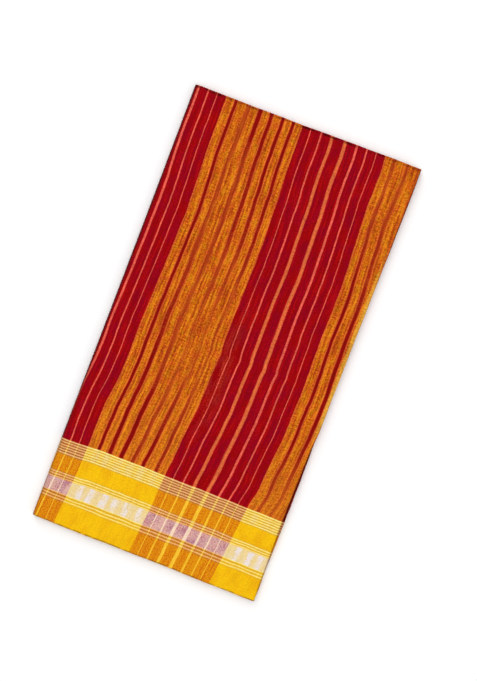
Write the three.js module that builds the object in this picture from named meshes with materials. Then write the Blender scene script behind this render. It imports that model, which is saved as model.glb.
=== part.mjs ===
// A saree: one woven length of cotton, halved selvage to selvage, then folded along its
// length into a flat pile and laid on a table.
//
// Millimetres. X runs across the pile, from the closed fold on the left to the open folds on
// the right. Y runs from the selvages at the near end (-Y) to the halving crease at the far
// end (+Y). Z is up from the table. The origin is under the middle of the pile.

import * as THREE from 'three';

// The pile.
const PILE_HEIGHT = 16; // eighteen doubled panels, pressed by hand
const CORNERS = {
  nearLeft: { x: -150.9, y: -291.3 },
  nearRight: { x: 150.5, y: -293.6 },
  farLeft: { x: -153.0, y: 291.4 },
  farRight: { x: 153.4, y: 293.6 },
};

// The cloth.
const WALL = 1.0; // one doubled panel
const GAP = 0.3; // between neighbouring stretches
const FOLD_THICKNESS = 2.2; // two doubled panels, pressed together behind a fold's edge
const WALL_ROUNDING = 0.3; // how far a wall's skins close up at its ends

// How the edges waver: how far, over how many turns of the edge, and from what turn.
const WAVER = {
  left: { size: 0.5, turns: 1.13, from: 0 },
  right: { size: 0.4, turns: 0.95, from: 0.16 },
  near: { size: 0.8, turns: 0.75, from: 0.5 },
  hem: { size: 0.8, turns: 1.43, from: 0 },
  foldNear: { size: 0.5, turns: 0.8, from: 0 },
  foldFar: { size: 0.3, turns: 0.64, from: 0 },
};

// The closed fold on the left, and the rolled edges on the right.
const SPINE_DEPTH = 7.5; // how far in from the left the fold's round back reaches
const SPINE_ROUND = 0.8; // below 1 the back is squarer than a half circle
const SPINE_STEPS = 10;
const NOSE_RUN = 9; // how far in from the right the edges begin to dip
const LIP_RADIUS = 1.3; // the outer panel's rolled edge
const LIP_ANGLES = [90, 60, 30, 0, -30, -60]; // degrees round that edge, from its top
const HEM_SETBACK = 2.5; // the cloth's free end lies this far in from the right, underneath

// How full the pile is near each side: rise of its top at that side, dying away inwards.
const FULLNESS = [
  { side: 'left', rise: 0.9, reach: 55 },
  { side: 'right', rise: 0.6, reach: 40 },
  { side: 'far', rise: 0.9, reach: 50 },
  { side: 'near', rise: -1.6, reach: 70 },
];

// Soft creases in the top, each along a line: positive heights are ridges.
const CREASES = [
  { name: 'storage fold, left', x1: -160, y1: -19, x2: 10, y2: -14, height: -0.75, width: 9 },
  { name: 'storage fold, right', x1: 10, y1: -14, x2: 160, y2: -20, height: -0.55, width: 8 },
  { name: 'storage shoulder', x1: -130, y1: 3, x2: 120, y2: 5, height: 0.35, width: 13 },
  { name: 'long ripple, gold', x1: -62, y1: -170, x2: -50, y2: 205, height: -0.45, width: 16 },
  { name: 'long ripple, red', x1: 44, y1: -120, x2: 62, y2: 160, height: 0.4, width: 20 },
  { name: 'drag to near right', x1: 20, y1: -60, x2: 120, y2: -215, height: -0.5, width: 15 },
  { name: 'drag to far left', x1: -30, y1: 120, x2: -122, y2: 248, height: 0.4, width: 18 },
  { name: 'border pucker', x1: -110, y1: -240, x2: -20, y2: -205, height: 0.35, width: 12 },
];
const STORAGE_FOLD_Y = -17;

// How far the edge of the fold below the outer panel stands out past the pile's right side,
// at places along the pile counted from the near end (0) to the far end (1).
const PEEK = [
  { along: 0.0, out: 1.1 },
  { along: 0.08, out: 1.7 },
  { along: 0.17, out: 2.5 },
  { along: 0.26, out: 2.3 },
  { along: 0.34, out: 1.2 },
  { along: 0.42, out: -0.6 },
  { along: 0.7, out: -1.2 },
  { along: 1.0, out: -0.8 },
];

// The edges of the hidden turns, from the lowest to the highest. Each stands out from the
// pile's outline by these amounts, and wavers by wave over so many turns of its length.
const LAYERS = [
  { name: 'fold 1', right: -1.1, near: -0.9, far: -1.2, wave: 0.5, turns: 1.3 },
  { name: 'fold 2', right: -2.4, near: 0.6, far: -0.5, wave: 0.6, turns: 0.8 },
  { name: 'fold 3', right: -0.7, near: -1.6, far: -1.9, wave: 0.4, turns: 1.7 },
  { name: 'fold 4', right: -1.9, near: 0.9, far: -1.5, wave: 0.5, turns: 0.9 },
  { name: 'middle panel', right: -4.2, near: -0.2, far: -0.9, wave: 0.9, turns: 1.1 },
  { name: 'fold 5', right: -0.9, near: -1.2, far: -0.4, wave: 0.6, turns: 1.5 },
  { name: 'fold 6', right: -1.7, near: 0.3, far: -1.3, wave: 0.5, turns: 1.2 },
];
const FOLD_SETBACK = { near: 0.6, far: 0.5 }; // of the fold that peeks out, at the two ends
const LAYER_GROOVE = 1.3; // how deep the groove between two layers is
// A layer's rounded edge: height as a share of the layer, and how far it falls short of full.
const LAYER_EDGE = [
  { up: 0.0, short: 1.0 },
  { up: 0.18, short: 0.22 },
  { up: 0.5, short: 0.0 },
  { up: 0.82, short: 0.22 },
];

// How finely the surfaces are divided.
const COLUMNS = 12;
const STATION_STEP = 24;
const CREASE_STEP = 11; // between stations at the storage fold
const CLOSEST_STEP = 5;

const rad = THREE.MathUtils.degToRad;
const lerp = THREE.MathUtils.lerp;

// ---- The pile's outline and the height of its top ----

function waver({ size, turns, from }, place) {
  return size * Math.sin(2 * Math.PI * (turns * place + from));
}

function leftEdge(along) {
  return lerp(CORNERS.nearLeft.x, CORNERS.farLeft.x, along) + waver(WAVER.left, along);
}

function rightEdge(along) {
  return lerp(CORNERS.nearRight.x, CORNERS.farRight.x, along) + waver(WAVER.right, along);
}

function acrossShare(x) {
  return (x - CORNERS.nearLeft.x) / (CORNERS.nearRight.x - CORNERS.nearLeft.x);
}

function nearEdge(x) {
  const across = acrossShare(x);
  return lerp(CORNERS.nearLeft.y, CORNERS.nearRight.y, across) + waver(WAVER.near, across);
}

function farEdge(x) {
  return lerp(CORNERS.farLeft.y, CORNERS.farRight.y, acrossShare(x));
}

function stationY(x, along) {
  return lerp(nearEdge(x), farEdge(x), along);
}

function distanceFrom(side, x, y) {
  const along = (y - nearEdge(x)) / (farEdge(x) - nearEdge(x));
  const distances = {
    left: x - leftEdge(along),
    right: rightEdge(along) - x,
    near: y - nearEdge(x),
    far: farEdge(x) - y,
  };
  return Math.max(distances[side], 0);
}

function creaseHeight(crease, x, y) {
  const dx = crease.x2 - crease.x1;
  const dy = crease.y2 - crease.y1;
  const length = Math.hypot(dx, dy);
  const run = ((x - crease.x1) * dx + (y - crease.y1) * dy) / length;
  const off = ((x - crease.x1) * dy - (y - crease.y1) * dx) / length;
  const past = Math.max(-run, run - length, 0); // beyond either end of the crease
  return crease.height * Math.exp(-(off * off + past * past) / (2 * crease.width ** 2));
}

function pileTop(x, y) {
  let z = PILE_HEIGHT;
  for (const { side, rise, reach } of FULLNESS) {
    z += rise * Math.exp(-distanceFrom(side, x, y) / reach);
  }
  for (const crease of CREASES) {
    z += creaseHeight(crease, x, y);
  }
  return z;
}

function peekAt(along) {
  const next = PEEK.findIndex((row) => row.along >= along);
  if (next < 1) {
    return PEEK[0].out;
  }
  const a = PEEK[next - 1];
  const b = PEEK[next];
  return THREE.MathUtils.smoothstep(along, a.along, b.along) * (b.out - a.out) + a.out;
}

// ---- Where the surfaces are divided ----

function stations() {
  const length = CORNERS.farLeft.y - CORNERS.nearLeft.y;
  const count = Math.round(length / STATION_STEP);
  const even = Array.from({ length: count + 1 }, (_, i) => i / count);
  const atCrease = [-CREASE_STEP, 0, CREASE_STEP];
  const crease = atCrease.map((off) => (STORAGE_FOLD_Y + off) / length + 0.5);
  const nearCrease = (along) => crease.some((c) => Math.abs(c - along) * length < CLOSEST_STEP);
  return [...even.filter((along) => !nearCrease(along)), ...crease].sort((a, b) => a - b);
}

const STATIONS = stations();

// The columns shared by every stretch, so that each lies evenly on the next.
function sharedX(column, along) {
  const from = leftEdge(along) + SPINE_DEPTH;
  const to = rightEdge(along) - NOSE_RUN;
  return lerp(from, to, column / (COLUMNS - 1));
}

function topAt(column, along) {
  const x = sharedX(column, along);
  return pileTop(x, stationY(x, along));
}

// ---- Making closed bodies ----

function body(points, triangles) {
  const geometry = new THREE.BufferGeometry();
  geometry.setAttribute('position', new THREE.Float32BufferAttribute(points.flat(), 3));
  geometry.setIndex(triangles.flat());
  return geometry;
}

// A wall between two skins, each a grid of points: skin[station][k].
function wallBody(outer, inner) {
  const across = outer[0].length;
  const along = outer.length;
  const points = [...outer.flat(), ...inner.flat()];
  const triangles = [];
  const out = (j, k) => j * across + k;
  const inn = (j, k) => across * along + j * across + k;
  const quad = (a, b, c, d) => triangles.push([a, b, c], [a, c, d]);
  for (let j = 0; j + 1 < along; j += 1) {
    for (let k = 0; k + 1 < across; k += 1) {
      quad(out(j, k), out(j, k + 1), out(j + 1, k + 1), out(j + 1, k));
      quad(inn(j, k + 1), inn(j, k), inn(j + 1, k), inn(j + 1, k + 1));
    }
    quad(inn(j, 0), out(j, 0), out(j + 1, 0), inn(j + 1, 0));
    quad(out(j, across - 1), inn(j, across - 1), inn(j + 1, across - 1), out(j + 1, across - 1));
  }
  for (let k = 0; k + 1 < across; k += 1) {
    quad(out(0, k), inn(0, k), inn(0, k + 1), out(0, k + 1));
    const last = along - 1;
    quad(inn(last, k), out(last, k), out(last, k + 1), inn(last, k + 1));
  }
  return body(points, triangles);
}

// A slab made of levels, each a grid of points level[station][column] of which only the rim
// is used between the lowest and the highest.
function slabBody(levels) {
  const along = levels[0].length;
  const across = levels[0][0].length;
  const rim = [];
  for (let i = 0; i < across - 1; i += 1) rim.push([0, i]);
  for (let j = 0; j < along - 1; j += 1) rim.push([j, across - 1]);
  for (let i = across - 1; i > 0; i -= 1) rim.push([along - 1, i]);
  for (let j = along - 1; j > 0; j -= 1) rim.push([j, 0]);

  const points = [];
  const triangles = [];
  const quad = (a, b, c, d) => triangles.push([a, b, c], [a, c, d]);
  const lowest = levels[0];
  const highest = levels[levels.length - 1];
  const low = (j, i) => j * across + i;
  const high = (j, i) => along * across + j * across + i;
  points.push(...lowest.flat(), ...highest.flat());
  for (let j = 0; j + 1 < along; j += 1) {
    for (let i = 0; i + 1 < across; i += 1) {
      quad(low(j, i), low(j + 1, i), low(j + 1, i + 1), low(j, i + 1));
      quad(high(j, i), high(j, i + 1), high(j + 1, i + 1), high(j + 1, i));
    }
  }
  let below = rim.map(([j, i]) => low(j, i));
  for (let n = 1; n < levels.length; n += 1) {
    const isHighest = n === levels.length - 1;
    const above = rim.map(([j, i], r) => (isHighest ? high(j, i) : points.length + r));
    if (!isHighest) {
      points.push(...rim.map(([j, i]) => levels[n][j][i]));
    }
    for (let r = 0; r < rim.length; r += 1) {
      const next = (r + 1) % rim.length;
      quad(below[r], below[next], above[next], above[r]);
    }
    below = above;
  }
  return body(points, triangles);
}

// ---- The outer panel: underside, round the closed fold, and over the top to its lip ----

// One skin of its section at a station, inset from the outermost skin by some depth.
function outerSection(along, inset) {
  const section = [];
  const left = leftEdge(along);
  const right = rightEdge(along);
  const height = topAt(0, along);
  const put = (x, z) => section.push({ x, z });

  put(right - HEM_SETBACK + waver(WAVER.hem, along), inset);
  put((left + right) / 2, inset);

  const halfHeight = height / 2;
  for (let i = 0; i <= SPINE_STEPS; i += 1) {
    const angle = rad(lerp(-90, 90, i / SPINE_STEPS));
    const round = Math.abs(Math.cos(angle)) ** SPINE_ROUND;
    const x = left + SPINE_DEPTH - (SPINE_DEPTH - inset) * round;
    put(x, halfHeight + (halfHeight - inset) * Math.sin(angle));
  }
  for (let column = 1; column < COLUMNS; column += 1) {
    put(sharedX(column, along), topAt(column, along) - inset);
  }
  const lipTop = topAt(COLUMNS - 1, along);
  for (const degrees of LIP_ANGLES) {
    const radius = LIP_RADIUS - inset;
    const x = right - LIP_RADIUS + radius * Math.cos(rad(degrees));
    put(x, lipTop - LIP_RADIUS + radius * Math.sin(rad(degrees)));
  }
  return section;
}

function outerSkin(inset) {
  const inwards = inset < WALL / 2 ? WALL_ROUNDING : -WALL_ROUNDING;
  const run = STATIONS.map((along) => ({ along, push: 0, close: 0 }));
  run[0].push = WALL_ROUNDING;
  run[run.length - 1].push = -WALL_ROUNDING;
  const ends = [0, 1].map((along) => ({ along, push: 0, close: inwards }));
  const rows = [ends[0], ...run, ends[1]];
  return rows.map(({ along, push, close }) =>
    outerSection(along, inset + close).map(({ x, z }) => [x, stationY(x, along) + push, z]),
  );
}

// ---- Slabs under it: the fold that peeks out, and the hidden turns ----

// How far the top panel's lip presses the edges below it down, over the run of the noses.
const LIP_DROP = 2 * LIP_RADIUS - WALL;

// A slab's level: its grid of points, given its height at each place and its rim's reach.
// reach holds how far the rim stands out past the outline on the right, near and far sides,
// and left gives the distance in from the pile's left edge.
function level(heightAt, reach) {
  const last = STATIONS.length - 1;
  return STATIONS.map((along, j) => {
    const row = [];
    for (let column = -1; column <= COLUMNS + 1; column += 1) {
      let x = sharedX(Math.min(Math.max(column, 0), COLUMNS - 1), along);
      const shared = Math.min(Math.max(column, 0), COLUMNS - 1);
      const z = heightAt(shared, along, column >= COLUMNS);
      if (column < 0) x = leftEdge(along) + reach.left(along, z);
      if (column === COLUMNS) x = rightEdge(along) - LIP_RADIUS - FOLD_THICKNESS;
      if (column > COLUMNS) x = rightEdge(along) + reach.right(along);
      let y = stationY(x, along);
      if (j === 0) y -= reach.near(acrossShare(x));
      if (j === last) y += reach.far(acrossShare(x));
      row.push([x, y, z]);
    }
    return row;
  });
}

// The fold below the outer panel: a rounded edge all round, like a bent sheet's.
function underFold() {
  const top = WALL + GAP;
  const radius = FOLD_THICKNESS / 2;
  const angles = [-90, -50, -18, 18, 50, 90];
  const levels = angles.map((degrees) => {
    const sink = top + radius * (1 - Math.sin(rad(degrees)));
    const short = radius * (1 - Math.cos(rad(degrees)));
    return level((column, along, isEdge) => topAt(column, along) - sink - (isEdge ? LIP_DROP : 0), {
      left: () => SPINE_DEPTH - radius + short,
      right: (along) => peekAt(along) - short,
      near: (across) => waver(WAVER.foldNear, across) - FOLD_SETBACK.near - short,
      far: (across) => waver(WAVER.foldFar, across) - FOLD_SETBACK.far - short,
    });
  });
  return slabBody(levels);
}

// The hidden turns: one solid, grooved between its layers at the right, near and far sides,
// and round-backed within the closed fold on the left.
function innerLayers() {
  const bottom = WALL + GAP;
  const sink = WALL + GAP + FOLD_THICKNESS + GAP;
  const levels = [];

  // A level that stands out no further than any of the layers it touches.
  const addLevel = (share, layers, short) => {
    const reach = (side, place) => {
      const outs = layers.map(
        ({ [side]: out, wave, turns }) => out + waver({ size: wave, turns, from: 0 }, place),
      );
      return Math.min(...outs) - LAYER_GROOVE * short;
    };
    const heightAt = (column, along, isEdge) => {
      const top = topAt(column, along) - sink - (isEdge ? LIP_DROP : 0);
      return lerp(bottom, top, share);
    };
    const backAt = (along, z) => {
      const half = topAt(0, along) / 2;
      const rise = THREE.MathUtils.clamp((z - half) / (half - bottom), -1, 1);
      const round = Math.sqrt(1 - rise * rise) ** SPINE_ROUND;
      return SPINE_DEPTH - (SPINE_DEPTH - bottom) * round;
    };
    levels.push(
      level(heightAt, {
        left: backAt,
        right: (along) => reach('right', along),
        near: (across) => reach('near', 1 - across),
        far: (across) => reach('far', 0.5 + across),
      }),
    );
  };

  LAYERS.forEach((layer, n) => {
    for (const { up, short } of LAYER_EDGE) {
      const touched = up === 0 && n > 0 ? [LAYERS[n - 1], layer] : [layer];
      addLevel((n + up) / LAYERS.length, touched, short);
    }
  });
  addLevel(1, [LAYERS[LAYERS.length - 1]], 1);
  return slabBody(levels);
}

// ---- The garment ----

function cloth(name, geometry, color) {
  const material = new THREE.MeshStandardMaterial({ color, roughness: 0.9, metalness: 0 });
  const mesh = new THREE.Mesh(geometry, material);
  mesh.name = name;
  return mesh;
}

const group = new THREE.Group();
group.add(cloth('outer_panel', wallBody(outerSkin(0), outerSkin(WALL)), '#a3181b'));
group.add(cloth('under_fold', underFold(), '#7d1216'));
group.add(cloth('inner_layers', innerLayers(), '#c9741f'));

export default group;
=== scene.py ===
# The looks of a folded saree: one length of striped handloom cotton, halved selvage to
# selvage and folded along its length into a flat pile of eighteen doubled leaves.
#
# The pile's sizes are in millimetres, as its solids are. Meshes are in metres.

import math

import bpy
import numpy as np
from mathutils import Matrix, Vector


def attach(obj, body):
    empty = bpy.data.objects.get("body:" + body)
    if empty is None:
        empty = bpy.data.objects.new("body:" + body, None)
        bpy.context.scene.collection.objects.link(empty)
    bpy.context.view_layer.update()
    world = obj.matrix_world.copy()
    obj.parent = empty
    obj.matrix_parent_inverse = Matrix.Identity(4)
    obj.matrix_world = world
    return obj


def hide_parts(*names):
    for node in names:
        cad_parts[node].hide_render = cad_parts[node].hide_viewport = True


bl_info = {
    "name": "Folded cotton saree",
    "version": (1, 0, 0),
    "blender": (4, 5, 0),
    "location": "3D View > Sidebar > Saree",
    "description": "Weaves a striped cotton saree round its packed solids and lights it",
    "category": "Object",
}

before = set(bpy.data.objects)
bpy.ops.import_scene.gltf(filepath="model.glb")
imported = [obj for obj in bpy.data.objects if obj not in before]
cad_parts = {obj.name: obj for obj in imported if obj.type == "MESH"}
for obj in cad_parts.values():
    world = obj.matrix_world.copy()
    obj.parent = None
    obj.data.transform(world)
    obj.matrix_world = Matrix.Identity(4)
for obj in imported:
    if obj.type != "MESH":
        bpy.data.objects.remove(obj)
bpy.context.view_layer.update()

MM = 0.001

# ---- The pile ----

PILE_HEIGHT = 16.0
CORNERS = {
    "near_left": (-150.9, -291.3),
    "near_right": (150.5, -293.6),
    "far_left": (-153.0, 291.4),
    "far_right": (153.4, 293.6),
}
SPINE_DEPTH = 7.5  # how far in from the left the closed fold's round back reaches
SPINE_ROUND = 0.8  # below 1 the back is squarer than a half circle
SPINE_STEP = 0.75  # how much less deep each next bend inside it is
LIP_RUN = 9.0  # the top stays level over this last stretch before the right-hand lip

# How the outline's edges waver: how far, over how many turns of the edge, from what turn.
WAVER = {
    "left": (-0.25, 1.13, 0.0),
    "right": (0.4, 0.95, 0.16),
    "near": (0.8, 0.75, 0.5),
    "hem": (0.8, 1.43, 0.0),
}

# How far the cloth's two ends are drawn in, at shares of the pile's width from the left.
DRAWN_AT = [0.0, 0.2, 0.35, 0.5, 0.6, 0.7, 0.85, 1.0]
DRAWN_NEAR = [1.3, 1.6, 2.1, 1.8, 2.0, 1.3, 0.4, 0.0]
DRAWN_FAR = [0.4, 0.8, 0.8, 1.4, 0.8, 0.6, 0.6, 1.0]

# How full the pile is near each side: rise at that side, dying away over so far.
FULLNESS = {"left": (0.9, 55), "right": (0.6, 40), "far": (0.9, 50), "near": (-1.6, 70)}

# Soft creases in the top, from (x1, y1) to (x2, y2), with their height and width.
CREASES = [
    (-160, -19, 10, -14, -0.75, 9),
    (10, -14, 160, -20, -0.55, 8),
    (-130, 3, 120, 5, 0.35, 13),
    (-62, -170, -50, 205, -0.45, 16),
    (44, -120, 62, 160, 0.4, 20),
    (20, -60, 120, -215, -0.5, 15),
    (-30, 120, -122, 248, 0.4, 18),
    (-110, -240, -20, -205, 0.35, 12),
]

# Finer creases that the top leaf alone shows, in the same columns.
FINE_CREASES = [
    (-150, -17.5, 20, -15.5, -0.20, 1.7),
    (20, -15.5, 150, -18.5, -0.14, 1.5),
    (-92, -60, -84, 90, 0.12, 4.0),
    (-118, 110, -104, 230, -0.13, 5.0),
    (-20, -150, -8, -40, -0.12, 4.5),
    (-6, 60, 8, 190, 0.12, 5.0),
    (74, -20, 82, 120, -0.12, 4.5),
    (98, 150, 92, 265, 0.11, 4.0),
    (104, -180, 88, -70, 0.13, 4.5),
    (-128, -196, -40, -178, -0.14, 3.5),
    (-70, -262, 30, -246, 0.15, 5.5),
    (40, -232, 130, -256, -0.14, 5.0),
    (-140, 262, -60, 250, 0.12, 5.0),
    (10, 268, 110, 274, -0.10, 4.5),
    (-60, 20, 60, 34, 0.08, 6.0),
    (-30, -100, 70, -88, -0.08, 6.0),
]

# ---- The cloth ----

LEAF_COUNT = 18
STRETCH_COUNT = 9  # each runs over a leaf, round the closed fold and over another leaf
SEAT = 0.35  # the middle of the lowest leaf above the table, and of the top one below the top
PITCH = (PILE_HEIGHT - 2 * SEAT) / (LEAF_COUNT - 1)
EDGE_RUN = 18.0  # how far in from the right the leaves begin to be pressed together
PRESSED_AT = 3.5  # how far in from the right they are all pressed
CLOTH_WIDTH = 585.0  # of the halved cloth, from its selvages to its halving crease
END_THINNED = 0.55  # how thick a piece is at the ends of its run, where it is rounded off

# Where the upper leaves' middles lie below the top, where the right-hand edge is pressed.
PRESSED_SINK = {1: 0.35, 2: 2.25, 3: 3.22, 4: 4.78}
# The others' middles above the lowest leaf, in seventh parts of what is left.
PRESSED_SEAT = {
    5: 6.75, 6: 6.25, 7: 5.75, 8: 5.25, 9: 4.5, 10: 3.75, 11: 3.25,
    12: 2.75, 13: 2.25, 14: 1.75, 15: 1.25, 16: 0.75, 17: 0.25,
}  # fmt: skip
PRESSED_TOP = 5.4
PRESSED_BOTTOM = 1.3
PRESSED_LAYERS = 7

# The turns and free ends on the right, by the leaves they join: how far the edge stands out
# past the outline, how far it wavers, over how many turns, and how deep its bend is.
RIGHT_EDGES = {
    (1, 2): (0.0, 0.0, 0.0, 1.15),
    (3, 4): (0.0, 0.0, 0.0, 1.0),
    (5, 6): (-1.7, 0.5, 1.2, 0.55),
    (7, 8): (-0.9, 0.6, 1.5, 0.55),
    (9,): (-4.2, 0.9, 1.1, 0.0),
    (10, 11): (-1.9, 0.5, 0.9, 0.55),
    (12, 13): (-0.7, 0.4, 1.7, 0.55),
    (14, 15): (-2.4, 0.6, 0.8, 0.55),
    (16, 17): (-1.1, 0.5, 1.3, 0.55),
    (18,): (-2.5, 0.0, 0.0, 0.0),
}
EDGE_OF = {leaf: leaves for leaves in RIGHT_EDGES for leaf in leaves}

# How far the two topmost turns stand out, from the near end (0) to the far end (1).
TURNS_OUT = {
    (1, 2): ([0.0, 0.05, 0.17, 0.26, 0.34, 0.40, 0.9, 1.0],
             [-0.5, -1.9, -3.3, -3.1, -2.2, -0.4, -0.2, -0.9]),
    (3, 4): ([0.0, 0.08, 0.17, 0.26, 0.34, 0.42, 0.7, 1.0],
             [-0.6, -0.7, -0.6, -0.6, -0.9, -1.9, -1.8, -1.8]),
}  # fmt: skip
# How far round a bend shade is painted into the colour, and how much: the bends' edges lie in
# shadow.
FOLD_SHADE = {("turn", (1, 2)): (1.2, 0.8), ("turn", (3, 4)): (5.0, 0.8), ("spine", 1): (6.5, 0.8)}

# The topmost turn's edge is made a paler cream: over how far and how much, and between which shares
# of the pile's length the paler rim comes and goes.
PALE_RIM_RUN, PALE_RIM_SHARE = 4.6, 0.48
PALE_RIM_FROM, PALE_RIM_TO = (0.34, 0.42), (0.70, 0.84)

# How far each leaf stands out past the outline at its near and far ends.
LEAF_ENDS = {
    1: (0.0, 0.0), 2: (-0.5, -0.3), 3: (-0.5, -0.4), 4: (-0.8, -0.7), 5: (0.1, -1.4),
    6: (0.5, -1.1), 7: (-1.0, -0.3), 8: (-1.4, -0.6), 9: (-0.2, -0.9), 10: (1.0, -1.3),
    11: (0.7, -1.7), 12: (-1.4, -1.8), 13: (-1.8, -2.0), 14: (0.5, -0.6), 15: (0.8, -0.3),
    16: (-0.7, -1.0), 17: (-1.1, -1.4), 18: (-0.2, -0.1),
}  # fmt: skip

# ---- The weave's chart ----

REPEAT = 214.3  # of the stripes along the cloth, from one gold band's start to the next
GOLD_BAND = 104.1  # the gold band's share of the repeat; the rest is red
LEFT_EDGE_AT = -42.2  # where in the chart the top leaf's left edge lies

# Fine light lines in the red band: place, width and how broad a line reads.
LINES = [
    (115.5, 1.1, "fine"),
    (129.3, 1.85, "fine"),
    (143.7, 3.9, "broad"),
    (161.3, 4.5, "broad"),
    (176.7, 2.7, "fine"),
    (190.0, 1.8, "fine"),
    (202.4, 1.0, "fine"),
]

LINE_CORE = 0.45  # how wide a broad line's core is, as a share of the line

# Brighter threads just inside the gold band's edges: how far in, width and how soft.
GOLD_RIM = (1.1, 1.7, 0.9)

# Places in the gold band where the weft is sparse and the red warp shows: place, width, and
# how much it shows at shares of the cloth's width counted from the selvage, in every other
# gold band and in those between.
GAP_SHARES = [0.13, 0.19, 0.34, 0.41, 0.51, 0.60, 0.73, 0.86, 0.94]
GAPS = [
    (14.2, 4.2, [1.00, 0.95, 0.95, 0.90, 0.90, 0.90, 0.90, 0.90, 0.90],
     [1.00, 0.45, 0.90, 1.00, 1.00, 0.95, 0.90, 0.55, 0.35]),
    (31.0, 5.2, [1.00, 1.00, 0.95, 0.90, 0.80, 0.70, 0.45, 0.40, 0.40],
     [1.00, 0.20, 0.85, 1.00, 1.00, 0.95, 0.75, 0.50, 0.35]),
    (46.2, 5.6, [1.00, 1.00, 0.90, 0.45, 0.40, 0.40, 0.55, 0.45, 0.95],
     [1.00, 0.15, 0.20, 0.30, 0.40, 0.40, 0.40, 0.30, 0.20]),
    (62.2, 4.6, [1.00, 0.70, 0.45, 0.25, 0.20, 0.35, 0.80, 0.85, 0.90],
     [1.00, 0.55, 0.80, 0.60, 0.35, 0.30, 0.45, 0.80, 0.90]),
    (76.7, 4.6, [1.00, 1.00, 0.70, 0.25, 0.15, 0.30, 0.80, 0.90, 0.90],
     [1.00, 0.85, 0.40, 0.30, 0.55, 0.75, 0.90, 0.60, 0.45]),
    (91.2, 4.4, [1.00, 0.75, 0.60, 0.20, 0.20, 0.35, 0.85, 0.90, 0.90],
     [1.00, 0.30, 0.65, 0.90, 0.80, 0.50, 0.30, 0.40, 0.75]),
]  # fmt: skip

# How far each gap strays from its place at those shares, in millimetres, in the same bands.
GAP_STRAYS = [
    ([0.0] * 9, [0.0, 0.3, 0.5, 0.0, 0.0, -0.2, -1.9, -1.6, -1.7]),
    ([-2.8, -2.2, -2.7, -3.2, -3.4, -2.3, -3.8, -1.2, 0.4],
     [0.0, 1.4, 0.8, 1.0, 0.0, -0.7, -2.6, -2.8, -1.6]),
    ([0.4, -2.4, -0.8, -1.5, -2.9, -0.5, 0.3, 1.6, 1.3],
     [0.0, 0.6, 0.8, -0.4, -1.2, -1.4, -0.6, 0.5, 0.8]),
    ([-1.2, -2.6, -0.5, 0.0, 0.0, 1.4, 0.9, 0.9, 0.4],
     [0.0, -0.5, -1.4, -1.6, -0.8, 0.0, 0.7, 1.2, 0.9]),
    ([-0.6, -3.3, -2.0, 0.0, 0.0, 0.0, 1.9, 0.9, 0.5],
     [0.0, 0.8, 1.3, 0.9, 0.3, -0.6, -1.0, -0.7, 0.0]),
    ([3.2, 0.0, -0.4, 0.0, 0.0, 0.0, 0.9, 0.9, 0.4],
     [0.0, -0.6, -0.9, 0.0, 0.7, 1.0, 0.6, 0.0, -0.4]),
]  # fmt: skip
MOST_STRAY = 4.0

# The forms of a gap: a share of its width, so much more, and how soft its edges are.
GAP_FORMS = [
    (0.84, 0.0, 1.1),  # bare warp
    (1.0, 0.4, 1.4),  # weft thinning out
    (1.0, 3.0, 1.6),  # weft crowded together beside it
    (1.0, 3.4, 5.0),  # in the white band
]

# Near the border the gold grows paler, between these distances from the selvage. Gold shows
# faintly in the red beside the gold band: place, width and how soft, each way.
GOLD_PALES = (110.0, 250.0)
HAZE_ALONG = (114.0, 18.0, 16.0)
HAZE_ACROSS = (250.0, 110.0, 110.0)

# The border, in millimetres from the selvage.
BORDER_DEPTH = 106.7
WHITE_BAND = (38.0, 56.9)
PALE_LINES = [  # place, width and strength
    (105.7, 1.5, 1.0), (102.4, 1.3, 0.95), (99.1, 1.3, 0.9), (95.9, 1.3, 0.95),
    (92.7, 1.3, 0.9), (89.4, 1.4, 0.95), (64.4, 1.4, 0.95), (61.1, 1.3, 0.9),
    (58.0, 1.4, 0.75), (38.2, 1.2, 0.8), (34.2, 1.3, 0.9), (30.4, 1.3, 0.85),
]  # fmt: skip
DARK_LINES = [
    (104.1, 1.3, 0.7), (100.8, 1.3, 0.7), (97.5, 1.3, 0.75), (94.3, 1.3, 0.7),
    (91.1, 1.3, 0.8), (87.8, 1.2, 0.7), (66.0, 1.2, 0.4), (62.8, 1.2, 0.5),
    (59.5, 1.3, 0.6), (36.2, 1.4, 0.65), (32.3, 1.3, 0.5), (28.3, 1.4, 0.4),
]  # fmt: skip

PALED = (88.5, 106.7)  # where fine pale lines lie close
SELVAGE_CORD_AND_SHADE = (0.5, 1.0, 0.6)  # dense selvage threads, darkened more to paint the shade between the stacked leaves' edges: place, width, how soft
CREASE_SHADE = (583.1, 2.6, 1.0)  # painted shade beside the halving crease, where the cloth turns over, likewise

BODY_UNEVEN, BORDER_UNEVEN = 0.8, 0.24  # how far the threads' dye swings
DYE_DEPTH = 0.89  # of full colour, under the studio's bright light
WARP_PAIR, WEFT_PAIR = 1.0, 1.1  # how wide two threads lie side by side

# How far the stripes are bowed to the right of straight, in millimetres, at shares of the
# cloth's width counted from the selvage: at the pile's left side, in its middle and right.
BOW_SHARES = [
    0.0, 0.10, 0.194, 0.22, 0.246, 0.272, 0.297, 0.323, 0.35, 0.40, 0.453, 0.504, 0.556,
    0.61, 0.685, 0.737, 0.789, 0.815, 0.841, 0.866, 0.892, 0.944, 0.97, 0.996, 1.0,
]  # fmt: skip
BOW_LEFT = [
    -12.7, -8.3, -6.1, -7.1, -6.6, -5.9, -5.0, -3.1, -1.2, 0.0, -0.1, 0.6, 1.4,
    1.8, 2.6, 4.0, 3.5, 2.2, 1.4, 0.5, 0.0, -0.1, 0.0, 0.2, 0.1,
]  # fmt: skip
BOW_MIDDLE = [
    -15.0, -9.1, -6.1, -3.9, -2.6, -2.1, -0.4, 0.6, 2.3, 3.0, 3.7, 3.3, 3.3,
    3.8, 4.5, 4.1, 3.0, 2.5, 2.3, 0.8, -0.3, -0.8, -0.9, -1.9, -2.0,
]  # fmt: skip
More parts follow.
